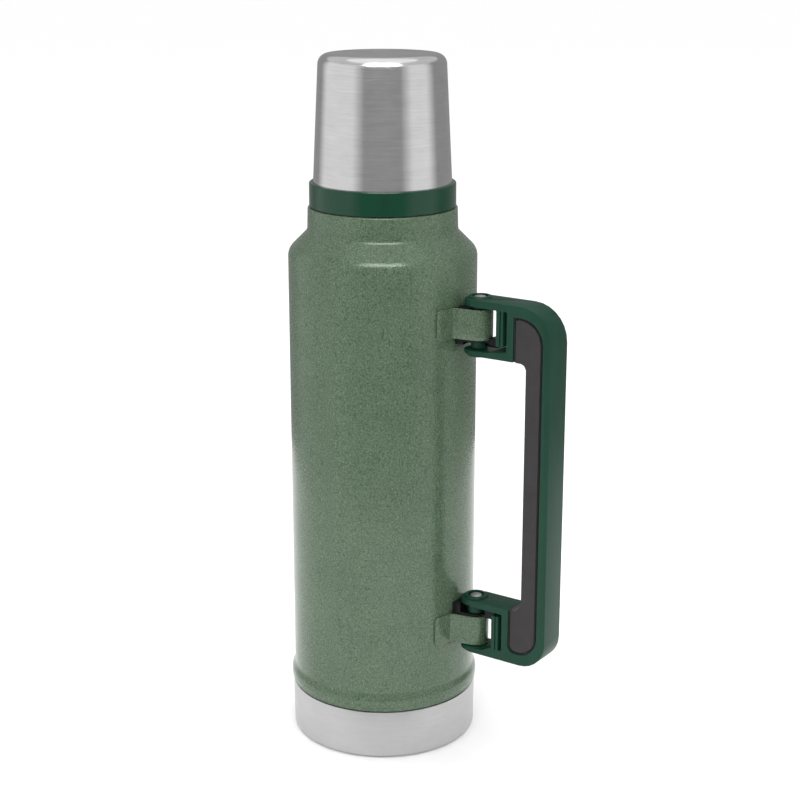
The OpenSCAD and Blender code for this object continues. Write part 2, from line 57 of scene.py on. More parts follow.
def arc(x, y, radius, start, end, steps=8):
    """Points on an arc round (x, y), from one angle to another in degrees."""
    turn = [math.radians(start + (end - start) * i / steps) for i in range(steps + 1)]
    return [(x + radius * math.cos(a), y + radius * math.sin(a)) for a in turn]


def rounded(corners, steps=6):
    """A closed outline through corners (x, y, radius): each corner with a radius is turned on an arc."""
    points = []
    for i, corner in enumerate(corners):
        here = Vector(corner[:2])
        radius = corner[2] if len(corner) > 2 else 0
        back = (Vector(corners[i - 1][:2]) - here).normalized()
        ahead = (Vector(corners[(i + 1) % len(corners)][:2]) - here).normalized()
        half = back.angle(ahead) / 2
        if radius == 0 or math.pi / 2 - half < 0.01:
            points.append(tuple(corner[:2]))
            continue
        centre = here + (back + ahead).normalized() * radius / math.sin(half)
        reach = radius / math.tan(half)
        first, last = here + back * reach - centre, here + ahead * reach - centre
        sweep = first.angle_signed(last)
        for k in range(steps + 1):
            spoke = Matrix.Rotation(-sweep * k / steps, 2) @ first
            points.append(tuple(centre + spoke))
    return points


# ---------------------------------------------------------------- meshes

def new_piece(name, points, faces):
    """A mesh object from points in millimetres."""
    mesh = bpy.data.meshes.new(name)
    mesh.from_pydata([[c * MM for c in p] for p in points], [], faces)
    piece = bpy.data.objects.new(name, mesh)
    bpy.context.scene.collection.objects.link(piece)
    clean(piece)
    return piece


def clean(piece):
    """Merges doubled points and makes every face look outwards."""
    bm = bmesh.new()
    bm.from_mesh(piece.data)
    bmesh.ops.remove_doubles(bm, verts=bm.verts, dist=1e-7)
    bmesh.ops.dissolve_degenerate(bm, edges=bm.edges, dist=1e-8)
    bmesh.ops.recalc_face_normals(bm, faces=bm.faces)
    bm.to_mesh(piece.data)
    bm.free()


def smooth(piece, angle=35):
    """Shades a piece smooth, except over edges sharper than the angle."""
    piece.data.shade_smooth()
    piece.data.set_sharp_from_angle(angle=math.radians(angle))
    return piece


def apply_modifiers(piece):
    """Turns a piece's modifiers into its mesh."""
    graph = bpy.context.evaluated_depsgraph_get()
    piece.data = bpy.data.meshes.new_from_object(piece.evaluated_get(graph), depsgraph=graph)
    piece.modifiers.clear()
    return piece


def turned(name, outline, relief=None, segments=ROUND):
    """A closed outline of (radius, height) turned round Z.

    relief(angle, radius, height) may move a radius.
    """
    points, faces = [], []
    count = len(outline)
    for i in range(segments):
        a = 2 * math.pi * i / segments
        for radius, height in outline:
            r = relief(a, radius, height) if relief else radius
            points.append((r * math.cos(a), r * math.sin(a), height))
    for i in range(segments):
        j = (i + 1) % segments
        for k in range(count):
            n = (k + 1) % count
            if outline[k][0] > 1e-6 or outline[n][0] > 1e-6:
                faces.append((i * count + k, j * count + k, j * count + n, i * count + n))
    return smooth(new_piece(name, points, faces))


def upright(name, outline, low, high):
    """An outline in plan, raised from one height to another."""
    count = len(outline)
    points = [(x, y, z) for z in (low, high) for x, y in outline]
    faces = [tuple(range(count)), tuple(range(2 * count - 1, count - 1, -1))]
    faces += [(k, (k + 1) % count, (k + 1) % count + count, k + count) for k in range(count)]
    return new_piece(name, points, faces)


def from_side(name, outline, width):
    """An outline of (x, z) seen from the side, with its width across Y."""
    count = len(outline)
    points = [(x, y, z) for y in (-width / 2, width / 2) for x, z in outline]
    faces = [tuple(range(count)), tuple(range(2 * count - 1, count - 1, -1))]
    faces += [(k, (k + 1) % count, (k + 1) % count + count, k + count) for k in range(count)]
    return new_piece(name, points, faces)


def soften(piece, width, angle=40, segments=4, weight=None):
    """Rounds the sharp edges by a width in millimetres.

    weight(middle, edge) gives each edge its share of the width.
    """
    bevel = piece.modifiers.new("soften", "BEVEL")
    bevel.width = width * MM
    bevel.segments = segments
    bevel.use_clamp_overlap = True
    bevel.harden_normals = False
    if weight is None:
        bevel.limit_method = "ANGLE"
        bevel.angle_limit = math.radians(angle)
    else:
        bevel.limit_method = "WEIGHT"
        bm = bmesh.new()
        bm.from_mesh(piece.data)
        layer = bm.edges.layers.float.new("bevel_weight_edge")
        for edge in bm.edges:
            if len(edge.link_faces) == 2 and edge.calc_face_angle() > math.radians(angle):
                a, b = (v.co / MM for v in edge.verts)
                edge[layer] = weight((a + b) / 2, b - a)
        bm.to_mesh(piece.data)
        bm.free()
    return apply_modifiers(piece)


def combine(piece, others, operation="UNION"):
    """Joins other pieces to a piece, or cuts them from it, and removes them."""
    for other in others:
        step = piece.modifiers.new("combine", "BOOLEAN")
        step.operation = operation
        step.solver = "EXACT"
        step.object = other
    apply_modifiers(piece)
    for other in others:
        bpy.data.objects.remove(other)
    clean(piece)
    return piece


# ---------------------------------------------------------------- materials

class Paint:
    """A material under construction: a Principled shader and the nodes that feed it."""

    def __init__(self, name, colour, roughness, **sockets):
        self.material = bpy.data.materials.new(name)
        self.material.use_nodes = True
        self.tree = self.material.node_tree
        self.shader = next(n for n in self.tree.nodes if n.type == "BSDF_PRINCIPLED")
        self.shader.inputs["Base Color"].default_value = (*colour, 1)
        self.shader.inputs["Roughness"].default_value = roughness
        for socket, value in sockets.items():
            self.shader.inputs[socket.replace("_", " ")].default_value = value
        self.place = self.node("ShaderNodeTexCoord").outputs["Object"]
        self.height = None

    def node(self, kind, **settings):
        made = self.tree.nodes.new(kind)
        for key, value in settings.items():
            setattr(made, key, value)
        return made

    def link(self, out, into):
        self.tree.links.new(out, into)

    def stretched(self, scale):
        """Object coordinates in millimetres, scaled on each axis."""
        mapping = self.node("ShaderNodeMapping")
        mapping.inputs["Scale"].default_value = [s / MM for s in scale]
        self.link(self.place, mapping.inputs["Vector"])
        return mapping.outputs["Vector"]

    def noise(self, scale=(1, 1, 1), detail=3, roughness=0.55):
        """Noise with about scale features to a millimetre."""
        made = self.node("ShaderNodeTexNoise")
        made.inputs["Scale"].default_value = 1
        made.inputs["Detail"].default_value = detail
        made.inputs["Roughness"].default_value = roughness
        self.link(self.stretched(scale), made.inputs["Vector"])
        return made.outputs["Fac"]

    def cells(self, scale, smoothness=0.6):
        """Distance to the middle of rounded cells, about scale cells to a millimetre."""
        made = self.node("ShaderNodeTexVoronoi", feature="SMOOTH_F1")
        made.inputs["Scale"].default_value = 1
        made.inputs["Smoothness"].default_value = smoothness
        self.link(self.stretched((scale,) * 3), made.inputs["Vector"])
        return made.outputs["Distance"]

    def ramp(self, value, stops):
        """A colour ramp through (position, colour or grey)."""
        made = self.node("ShaderNodeValToRGB")
        points = made.color_ramp.elements
        while len(points) < len(stops):
            points.new(0.5)
        for point, (position, colour) in zip(points, stops):
            point.position = position
            point.color = (*colour, 1) if isinstance(colour, tuple) else (colour,) * 3 + (1,)
        self.link(value, made.inputs["Fac"])
        return made.outputs["Color"]

    def mix(self, a, b, share, blend="MIX"):
        made = self.node("ShaderNodeMix", data_type="RGBA", blend_type=blend)
        for socket, value in (("Factor", share), ("A", a), ("B", b)):
            into = next(s for s in made.inputs if s.name == socket and s.enabled)
            if hasattr(value, "is_linked") or hasattr(value, "links"):
                self.link(value, into)
            else:
                into.default_value = (*value, 1) if isinstance(value, tuple) else value
        return next(s for s in made.outputs if s.enabled)

    def bump(self, value, depth, strength=1.0):
        """Raises the surface by up to depth millimetres, on top of any bump before it."""
        made = self.node("ShaderNodeBump")
        made.inputs["Distance"].default_value = depth * MM
        made.inputs["Strength"].default_value = strength
        self.link(value, made.inputs["Height"])
        if self.height is not None:
            self.link(self.height, made.inputs["Normal"])
        self.height = made.outputs["Normal"]
        self.link(self.height, self.shader.inputs["Normal"])

    def feed(self, socket, value):
        self.link(value, self.shader.inputs[socket])


def hammertone():
    """Green hammered enamel: small dimples, with paler metal flake on their crowns."""
    paint = Paint("hammertone_paint", (0.072, 0.115, 0.07), 0.26, Metallic=0.1, Specular_IOR_Level=0.22,
                  Coat_Weight=0.4, Coat_Roughness=0.07)
    cells = paint.cells(1.05)
    flake = paint.noise((1.5,) * 3, detail=4, roughness=0.65)
    broad = paint.noise((0.05,) * 3, detail=2)
    base = paint.ramp(cells, [(0.15, (0.098, 0.148, 0.092)), (0.55, (0.077, 0.122, 0.075)),
                              (0.85, (0.048, 0.084, 0.048))])
    specks = paint.ramp(flake, [(0.34, 0.66), (0.5, 1.0), (0.66, 1.32)])
    mottled = paint.mix(base, specks, 1.0, "MULTIPLY")
    drift = paint.ramp(broad, [(0.35, 0.95), (0.65, 1.04)])
    paint.feed("Base Color", paint.mix(mottled, drift, 1.0, "MULTIPLY"))
    paint.feed("Roughness", paint.ramp(flake, [(0.3, 0.18), (0.7, 0.32)]))
    paint.bump(cells, 0.09, 0.55)
    paint.bump(flake, 0.03, 0.5)
    paint.feed("Coat Normal", paint.height)
    return paint.material


def brushed(name, grey, roughness, lines=(0.03, 0.03, 5), anisotropic=0.8, depth=0.006):
    """Steel brushed round its axis, so that its reflections draw out along it."""
    paint = Paint(name, (grey, grey, grey * 0.995), roughness, Metallic=1, Anisotropic=anisotropic,
                  Anisotropic_Rotation=0.25)
    tangent = paint.node("ShaderNodeTangent", direction_type="RADIAL", axis="Z")
    paint.feed("Tangent", tangent.outputs["Tangent"])
    fine = paint.noise(lines, detail=4, roughness=0.7)
    patchy = paint.noise((0.06, 0.06, 0.1), detail=3)
    tone = paint.ramp(fine, [(0.3, grey * 0.92), (0.7, min(1, grey * 1.06))])
    soft = paint.ramp(patchy, [(0.3, 0.95), (0.7, 1.03)])
    paint.feed("Base Color", paint.mix(tone, soft, 1.0, "MULTIPLY"))
    paint.feed("Roughness", paint.ramp(fine, [(0.3, roughness * 0.8), (0.7, roughness * 1.25)]))
    paint.bump(fine, depth, 0.35)
    return paint.material


def plastic(name, colour, roughness, grain=2.2, depth=0.012, **sockets):
    """Moulded plastic: an even grain, faint flow marks and slightly uneven gloss."""
    paint = Paint(name, colour, roughness, **sockets)
    fine = paint.noise((grain,) * 3, detail=2)
    flow = paint.noise((0.08, 0.08, 0.03), detail=3)
    tone = [tuple(c * k for c in colour) for k in (0.88, 1.12)]
    paint.feed("Base Color", paint.ramp(flow, [(0.3, tone[0]), (0.7, tone[1])]))
    paint.feed("Roughness", paint.ramp(flow, [(0.3, roughness * 0.9), (0.7, roughness * 1.12)]))
    paint.bump(fine, depth, 0.5)
    return paint.material


def rubber(name, colour, roughness):
    """Soft overmould: a fine matte grain with a slight bloom."""
    paint = Paint(name, colour, roughness, Specular_IOR_Level=0.4, Sheen_Weight=0.15,
                  Sheen_Roughness=0.5)
    grain = paint.cells(1.9, 0.3)
    bloom = paint.noise((0.12,) * 3, detail=4)
    tone = [tuple(c * k for c in colour) for k in (0.86, 1.14)]
    paint.feed("Base Color", paint.ramp(bloom, [(0.3, tone[0]), (0.7, tone[1])]))
    paint.bump(grain, 0.035, 0.6)
    return paint.material


def foam(name, colour):
    """Rigid foam with open pores; the pore bottoms are painted darker, as painted shade."""
    paint = Paint(name, colour, 0.9)
    pores = paint.cells(0.9, 0.2)
    # painted shade: the colour darkens towards each pore's bottom
    pore_shade = tuple(c * 0.72 for c in colour)
    paint.feed("Base Color", paint.ramp(pores, [(0.2, pore_shade), (0.6, colour)]))
    paint.bump(pores, 0.3, 0.6)
    return paint.material


def metal(name, grey, roughness):
    """Plain drawn or cast metal with a light mottle."""
    paint = Paint(name, grey, roughness, Metallic=1)
    mottle = paint.noise((0.4,) * 3, detail=4)
    paint.feed("Base Color", paint.ramp(mottle, [(0.3, tuple(c * 0.85 for c in grey)), (0.7, grey)]))
    paint.feed("Roughness", paint.ramp(mottle, [(0.3, roughness * 0.85), (0.7, roughness * 1.2)]))
    paint.bump(mottle, 0.01, 0.4)
    return paint.material


MATERIALS = {
    "hammertone_paint": hammertone(),
    "brushed_steel": brushed("brushed_steel", 0.76, 0.16, (0.05, 0.05, 3), 0.65, 0.002),
    "base_steel": brushed("base_steel", 0.52, 0.36, (0.08, 0.08, 2), 0.5, 0.003),
    "vessel_steel": brushed("vessel_steel", 0.6, 0.3),
    "collar_plastic": plastic("collar_plastic", (0.0008, 0.034, 0.0155), 0.04, 0.6, 0.001),
    "handle_plastic": plastic("handle_plastic", (0.0065, 0.042, 0.0245), 0.36, Specular_IOR_Level=0.2),
    "hinge_plastic": plastic("hinge_plastic", (0.003, 0.0042, 0.0038), 0.42, Specular_IOR_Level=0.25),
    "stopper_plastic": plastic("stopper_plastic", (0.008, 0.036, 0.022), 0.38),
    "liner_plastic": plastic("liner_plastic", (0.008, 0.036, 0.022), 0.3),
    "grip_rubber": rubber("grip_rubber", (0.020, 0.0172, 0.0184), 0.62),
    "seal_rubber": rubber("seal_rubber", (0.30, 0.31, 0.31), 0.55),
    "pin_steel": metal("pin_steel", (0.72, 0.72, 0.71), 0.32),
    "braze_metal": metal("braze_metal", (0.16, 0.15, 0.14), 0.6),
    "foil": metal("foil", (0.8, 0.8, 0.81), 0.18),
    "foam": foam("foam", (0.78, 0.70, 0.45)),
}


def dress(piece, material, body, *nodes, slot=None):
    """Gives a piece its material, its body, and the CAD nodes that it stands for."""
    piece.data.materials.clear()
    piece.data.materials.append(MATERIALS[material])
    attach(piece, body)
    if nodes:
        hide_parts(*nodes)
    return piece


# ---------------------------------------------------------------- flask

shell_low, shell_high = box("outer_shell")
base_high = box("base_cup")[1]
collar_low, collar_high = box("collar")
cup_low, cup_high = box("cup_shell")
vessel_low, vessel_high = box("inner_vessel")
strap_low, strap_high = box("upper_bracket")
BODY_R = 50                              # straight painted wall
SEAM = shell_low.z
WALL = 0.5


def shell_line(t):
    """The painted shell's line from the seam up to its top edge, moved inwards by t."""
    bead = shell_high.x - BODY_R
    shoulder, fillet = 8, 4
    wall_top, neck, edge = 268.2, 39.7, 0.9
    neck_taper = 0.3
    cone_top = wall_top + 2 * shoulder * math.sin(math.pi / 4) - shoulder + BODY_R - neck
    fillet_top = cone_top + fillet * (2 * math.sin(math.pi / 4) - 1)
    bead_top = SEAM + 5.4
    ease = [(BODY_R + bead * (1 + math.cos(math.pi * i / 12)) / 2 - t, bead_top + 5.4 * i / 12)
            for i in range(13)]
    tuck = 50.0                          # the edge goes this far in, behind the base's edge
    lip = [(tuck - t, SEAM - 1.1), (tuck - t, SEAM + 0.1), (BODY_R + bead - 0.7 - t, SEAM + 0.1),
           (BODY_R + bead - 0.45 - t, SEAM + 0.35)]
    return (lip + arc(BODY_R + bead - 2 - t, SEAM + 3.2, 2, -42, 0, 5) + ease
            + arc(BODY_R - shoulder, wall_top, shoulder - t, 0, 45, 10)
            + arc(neck + fillet, fillet_top, fillet + t, 225, 180, 8)
            + arc(neck - neck_taper - edge, collar_low.z - edge, edge - t, 0, 90, 6))


def painted_shell():
    throat, weld = 29.4, shell_high.z
    outside = shell_line(0) + [(throat, collar_low.z), (throat, weld)]
    inside = shell_line(WALL) + [(throat - WALL, collar_low.z - WALL), (throat - WALL, weld)]
    return turned("painted_shell", outside + inside[::-1])


def base():
    r, t, foot = base_high.x, 0.5, 2.2
    outside = ([(0, 2.6), (r - 11, 2.6), (r - 8, 0)] + arc(r - 0.25 - foot, foot, foot, 270, 360, 8)
               + [(r, SEAM - 1.0), (r - 0.1, SEAM - 0.75), (r - 0.3, SEAM - 0.68)])
    inside = ([(0, 2.6 + t), (r - 11, 2.6 + t), (r - 8, t)]
              + arc(r - 0.25 - foot, foot, foot - t, 270, 360, 8) + [(r - t, SEAM - 0.75)])
    return turned("brushed_base", outside + inside[::-1])


def ridge(core, height, pitch, starts, low, high, width):
    """A relief that raises a screw thread on a core between two heights."""
    def relief(angle, radius, z):
        if radius < core - 0.05 or not low < z < high:
            return radius
        phase = ((z - low) / pitch - starts * angle / (2 * math.pi)) % 1
        off = min(phase, 1 - phase) * pitch
        rise = max(0.0, min(1.0, (width / 2 - off) / (width * 0.22)))
        fade = max(0.0, min(1.0, (z - low) / 1.2, (high - z) / 1.2))
        rise = rise * rise * (3 - 2 * rise)
        return radius + height * rise * fade
    return relief


def collar_ring():
    r, top = collar_high.x, 307.0
    low, high = collar_low.z, collar_high.z
    sleeve, edge, taper = 32.9, 0.7, 0.05
    rows = 44                            # points up the threaded sleeve
    gap, inset = 0.55, 1.2               # the shadow gap over the shell: its height and depth
    outline = rounded([(29.4, low), (r - inset, low), (r - inset, low + gap), (r, low + gap, 0.3),
                       (r, low + gap + 0.5), (r - taper, top - edge - 0.2), (r - taper, top, edge),
                       (sleeve, top)])
    wall = [(sleeve, top + (high - 0.8 - top) * i / rows) for i in range(1, rows + 1)]
    at = outline.index((sleeve, top)) + 1
    outline = outline[:at] + wall + [(sleeve - 0.8, high), (29.4, high)]
    return turned("collar_ring", outline, ridge(sleeve, 0.75, 4.5, 2, top + 1, high - 1, 2.1), 288)


def vessel():
    t, mouth, lip, r = 0.4, 27.0, 30.8, vessel_high.x
    low, lip_z = vessel_low.z, vessel_high.z

    def line(inset):
        neck, fillet, shoulder, corner = mouth + t, 5, 8, 10
        top = 264.2
        neck_z = top + shoulder * math.sin(math.pi / 4) + r - shoulder * (1 - math.cos(math.pi / 4)) \
            - neck + fillet * (2 * math.sin(math.pi / 4) - 1)
        return ([(0, low + inset)] + arc(r - corner, low + corner, corner - inset, 270, 360, 10)
                + arc(r - shoulder, top, shoulder - inset, 0, 45, 8)
                + arc(neck + fillet, neck_z, fillet + inset, 225, 180, 8))
    outside = line(0) + [(mouth + t, lip_z - 0.7), (lip, lip_z - 0.7)]
    inside = line(t) + [(mouth, lip_z - 0.5)] + arc(mouth + 0.5, lip_z - 0.5, 0.5, 180, 90, 4) \
        + arc(lip - 0.35, lip_z - 0.35, 0.35, 90, 0, 4)
    return turned("steel_vessel", outside + inside[::-1])


dress(painted_shell(), "hammertone_paint", "flask", "outer_shell")
dress(base(), "base_steel", "flask", "base_cup", slot="brushed_steel")
dress(collar_ring(), "collar_plastic", "flask", "collar")
dress(vessel(), "vessel_steel", "flask", "inner_vessel")


# ---------------------------------------------------------------- hinges

PIN_X = (box("upper_hinge_pin")[0].x + box("upper_hinge_pin")[1].x) / 2
LOOP_R, SHEET = 7.0, 1.2


def strap_path():
    """Plan of a strap's outer face and its inward normals, from one flange's end to the other."""
    end, start = 22.4, 12.2
    half = [((BODY_R + SHEET) * math.cos(math.radians(a)), (BODY_R + SHEET) * math.sin(math.radians(a)))
            for a in [end - (end - start) * (1 - math.cos(math.pi / 2 * i / 8)) for i in range(9)]]
    half += [((BODY_R + SHEET) * math.cos(math.radians(a)), (BODY_R + SHEET) * math.sin(math.radians(a)))
             for a in (start - 0.4, start - 0.8)]
    reach = Vector((49.4 - PIN_X, 8.9))
    tangent = math.degrees(math.atan2(reach.y, reach.x) - math.acos(LOOP_R / reach.length))
    wall_end = Vector((PIN_X, 0)) + LOOP_R * Vector((math.cos(math.radians(tangent)),
                                                     math.sin(math.radians(tangent))))
    root = Vector(half[-1])
    along = (wall_end - Vector((49.4, 8.9))).normalized()
    foot = Vector((49.4, 8.9)) + along * 3.2
    for i in range(1, 8):
        f = i / 8
        corner = Vector((49.4, 8.9)) + along * 0.9
        p = root * (1 - f) ** 2 + corner * 2 * f * (1 - f) + foot * f * f
        half.append(tuple(p))
    half.append(tuple(foot))
    half += [tuple(foot.lerp(wall_end, f)) for f in (0.35, 0.7)]
    half += arc(PIN_X, 0, LOOP_R, tangent, 0, 14)
    other = [(x, -y) for x, y in half[-2::-1]]
    return half + other


def strap(name, node):
    """A strap of sheet steel: both flanges follow the flask and have round corners."""
    low, high = box(node)
    path = [Vector(p) for p in strap_path()]
    corner = 2.6
    middle, tall = (low.z + high.z) / 2, (high.z - low.z) / 2
    points, faces = [], []
    travelled = [0.0]
    for a, b in zip(path, path[1:]):
        travelled.append(travelled[-1] + (b - a).length)
    for i, p in enumerate(path):
        ahead = path[min(i + 1, len(path) - 1)] - path[max(i - 1, 0)]
        inward = Vector((ahead.y, -ahead.x)).normalized()
        if inward.dot(Vector((PIN_X - 6, 0)) - p) < 0 and 16 < i < len(path) - 17:
            inward = -inward
        from_end = min(travelled[i], travelled[-1] - travelled[i])
        short = corner - math.sqrt(max(0, corner ** 2 - max(0, corner - from_end - 0.05) ** 2))
        for face in (p, p + inward * SHEET):
            for z in (middle - tall + short, middle + tall - short):
                points.append((face.x, face.y, z))
    for i in range(len(path) - 1):
        a, b = 4 * i, 4 * (i + 1)
        for u, v in ((0, 1), (1, 3), (3, 2), (2, 0)):
            faces.append((a + u, a + v, b + v, b + u))
    last = 4 * (len(path) - 1)
    faces += [(0, 1, 3, 2), (last, last + 1, last + 3, last + 2)]
    return smooth(soften(new_piece(name, points, faces), 0.28, 50, 3), 40)


def bushing(name, node):
    low, high = box(node)
    outline = rounded([(2.56, low.z), (4.35, low.z, 0.45), (4.35, high.z, 0.45), (2.56, high.z)], 4)
    piece = turned(name, outline, segments=72)
    piece.data.transform(shift(PIN_X))
    return piece


def shift(x):
    """A move along X, in millimetres."""
    return Matrix.Translation((x * MM, 0, 0))


def pin(name, node):
    """A riveted pin: domed head above, upset head below."""
    low, high = box(node)
    head, shank, tall = 3.2, 2.5, 1.7
    dome = [(head * math.cos(math.radians(a)), high.z - 0.45 + 0.6 * math.sin(math.radians(a)))
            for a in range(0, 91, 10)]
    foot = [(head * math.cos(math.radians(a)), low.z + 0.45 - 0.6 * math.sin(math.radians(a)))
            for a in range(90, -1, -10)]
    outline = (foot + [(head, low.z + tall), (shank, low.z + tall), (shank, high.z - tall),
                       (head, high.z - tall)] + dome)
    piece = turned(name, outline, segments=72)
    piece.data.transform(shift(PIN_X))
    return piece


def insert(name, node, level):
    """The moulded block that fills a strap, and the cam that stands out of it towards the leaf."""
    low, high = box(node)
    strap_low, strap_high = (corner.z for corner in box(level + "_bracket"))
    inner, gap, proud = LOOP_R - SHEET - 0.05, 0.05, 1.3
    if level == "upper":
        block, root = (strap_low - proud, strap_high), (low.z, strap_low - gap)
        bar, lug = (strap_low - proud, strap_low - gap), (low.z, strap_low + 1.4)
    else:
        block, root = (strap_low, strap_high + proud), (strap_high + gap, high.z)
        bar, lug = (strap_high + gap, strap_high + proud), (strap_high - 0.2, high.z)
    start, wide = 50.3, 8.9 - SHEET - 0.2
    outline = [(start, -wide)] + arc(PIN_X, 0, inner, -78, 78, 16) + [(start, wide)]
    body = soften(upright(name, outline, *block), 0.3, 50, 2)
    half, reach, root_end, root_half = 3.0, 13.5, 54.8, 7.0
    rib_half, slot_y, slot_half = 1.1, 3.4, 0.5
    web_start, web_half, bore_r, notch_r = 3.8, 0.8, 4.36, 1.4
    corners = [(start, -root_half), (root_end, -root_half, 0.8), (root_end, root_half, 0.8),
               (start, root_half)]
    combine(body, [soften(upright("root", rounded(corners, 4), *root), 0.25, 50, 2)])
    rib = [(start, -rib_half), (root_end + 0.9, -rib_half), (root_end + 0.9, rib_half), (start, rib_half)]
    combine(body, [soften(upright("rib", rib, *root), 0.2, 50, 2)])
    stem = [(start, -half), (PIN_X + reach - 2, -half), (PIN_X + reach - 2, half), (start, half)]
    combine(body, [soften(upright("stem", stem, *bar), 0.25, 50, 2)])
    web = [(PIN_X + web_start, -web_half), (PIN_X + LOOP_R + 0.6, -half), (PIN_X + LOOP_R + 0.6, half),
           (PIN_X + web_start, web_half)]
    combine(body, [upright("web", web, *root)])
    spread = math.degrees(math.asin(half / reach))
    tip = [(PIN_X + LOOP_R + 0.3, -half)] + arc(PIN_X, 0, reach, -spread, spread, 10) \
        + [(PIN_X + LOOP_R + 0.3, half)]
    combine(body, [soften(upright("tip", tip, *lug), 0.3, 50, 2)])
    for side in (-1, 1):
        middle = side * slot_y
        slot = [(start + 1.6, middle - slot_half), (root_end + 1, middle - slot_half),
                (root_end + 1, middle + slot_half), (start + 1.6, middle + slot_half)]
        ends = (root[0] - 1, root[1] - 1.2) if level == "upper" else (root[0] + 1.2, root[1] + 1)
        combine(body, [upright("slot", slot, *ends)], "DIFFERENCE")
    combine(body, [drill("insert_bore", bore_r, block[0] - 6, block[1] + 6)], "DIFFERENCE")
    combine(body, [round_cut("notch", PIN_X + reach + 1, notch_r, low.z - 1, high.z + 1)], "DIFFERENCE")
    return smooth(body)


def round_cut(name, x, radius, low, high):
    piece = turned(name, [(0, low), (radius, low), (radius, high), (0, high)], segments=48)
    piece.data.transform(shift(x))
    return piece


def drill(name, radius, low, high):
    return round_cut(name, PIN_X, radius, low, high)


for level in ("upper", "lower"):
    dress(strap(level + "_strap", level + "_bracket"), "hammertone_paint", "flask", level + "_bracket")
    dress(insert(level + "_block", level + "_hinge_insert", level), "hinge_plastic", "flask",
          level + "_hinge_insert")
    dress(bushing(level + "_sleeve", level + "_bushing"), "handle_plastic", "flask", level + "_bushing")
    dress(pin(level + "_rivet", level + "_hinge_pin"), "pin_steel", "handle", level + "_hinge_pin")


# ---------------------------------------------------------------- handle

handle_low, handle_high = box("handle_frame")
grip_low, grip_high = box("grip")
WIDTH = handle_high.y - handle_low.y
BACK = handle_high.x
TOP, BOTTOM = handle_high.z - 1.0, handle_low.z + 1.1
WEB = (81.5, grip_low.x)
LOWER_SLOPE = (8.8, 13.2)                # where the lower ear slopes, outwards from the pin
LEAF = (75.2, 79.3)
LEAF_GROOVE, GROOVE_DEPTH = (77.3, 77.9), 1.5
UPPER_FORK = {"ear": (TOP, 249.0), "toe": (227.8, 223.5), "boss": (TOP + 1, 249.0, 226.0, 222.2)}
LOWER_FORK = {"ear": (88.4, 85.0), "toe": (63.9, BOTTOM), "boss": (89.5, 85.0, 61.6, 57.6)}
LEAF_END = (UPPER_FORK["toe"][0] + 2.5, LOWER_FORK["ear"][1] - 2)
POCKET_TOP, POCKET_BOTTOM = grip_high.z, grip_low.z
POCKET_BACK = grip_high.x


def handle_outline():
    """Side view of the frame with both forks and their detent leaves, without the bosses."""
    end = PIN_X + 1
    up, down = UPPER_FORK, LOWER_FORK
    return rounded([
        (end, up["ear"][0]), (BACK, up["ear"][0], 19), (BACK, BOTTOM, 15), (end, BOTTOM),
        (end, down["boss"][2] - 0.4), (PIN_X + LOWER_SLOPE[0], down["boss"][2], 1.5),
        (PIN_X + LOWER_SLOPE[1], down["toe"][0], 0.8),
        (LEAF[0], down["toe"][0], 0.5), (LEAF[0], LEAF_END[1], 0.4), (LEAF[1], LEAF_END[1], 0.4),
        (LEAF[1], down["toe"][0], 0.5), (WEB[0], down["toe"][0], 0.8), (WEB[0], down["ear"][1], 0.8),
        (end, down["ear"][1]), (end, down["ear"][0]), (WEB[1], down["ear"][0], 0.3),
        (WEB[1], POCKET_BOTTOM, 4), (POCKET_BACK, POCKET_BOTTOM, 11), (POCKET_BACK, POCKET_TOP, 13),
        (WEB[1], POCKET_TOP, 0.3), (WEB[1], up["toe"][1], 0.3),
        (WEB[0] - 4, up["toe"][1], 3), (PIN_X + 7, up["boss"][3] + 1.2, 2), (end, up["boss"][3] + 1.2),
        (end, up["boss"][2]), (PIN_X + 7, up["boss"][2] + 0.2, 2), (WEB[0], up["toe"][0], 0.8),
        (WEB[0], up["ear"][1], 0.8), (LEAF[1], up["ear"][1], 0.5), (LEAF[1], LEAF_END[0], 0.4),
        (LEAF[0], LEAF_END[0], 0.4), (LEAF[0], up["ear"][1], 0.5), (end, up["ear"][1]),
    ], 7)


def handle_rounding(middle, edge):
    """How far each long edge of the frame is rounded, as a share of the largest rounding."""
    if abs(edge.y) > 1:
        return 0
    outside = (middle.x > POCKET_BACK + 1.5 or middle.z > TOP - 0.6 or middle.z < BOTTOM + 0.6)
    if outside:
        return 1.0
    in_pocket = middle.x > WEB[1] - 0.4
    return 0.14 if in_pocket else 0.36


def boss(name, outer, inner):
    """A round end of an ear: a disc whose outer side has a raised face inside a lower rim."""
    radius, face, step = 7.9, 6.2, 1.1
    way = 1 if outer > inner else -1
    rim = outer - way * step
    outline = rounded([(0, inner), (radius, inner, 0.8), (radius, rim, 1.2), (face, rim, 0.3),
                       (face, outer, 0.7), (0, outer)], 5)
    piece = turned(name, outline, segments=96)
    piece.data.transform(shift(PIN_X))
    return piece


def ridge_bar(name, low):
    """The ridge on a leaf's free end that rides on the cam."""
    r, proud, tall = 1.2, 0.6, 2.4
    x = LEAF[0] + r - proud
    outline = [(x + r * 0.8, -r), (x + r * 0.8, r)] + arc(x, 0, r, 100, 260, 10)
    return soften(upright(name, outline, low, low + tall), 0.2, 50, 2)


def ear_slot():
    """The opening in the upper fork's lower ear, under the leaf."""
    start, half = 72, 6.8
    corners = [(start, -half, 1), (WEB[0], -half, 1), (WEB[0], half, 1), (start, half, 1)]
    return upright("ear_slot", rounded(corners, 4), UPPER_FORK["toe"][1] - 1, UPPER_FORK["toe"][0] + 1)


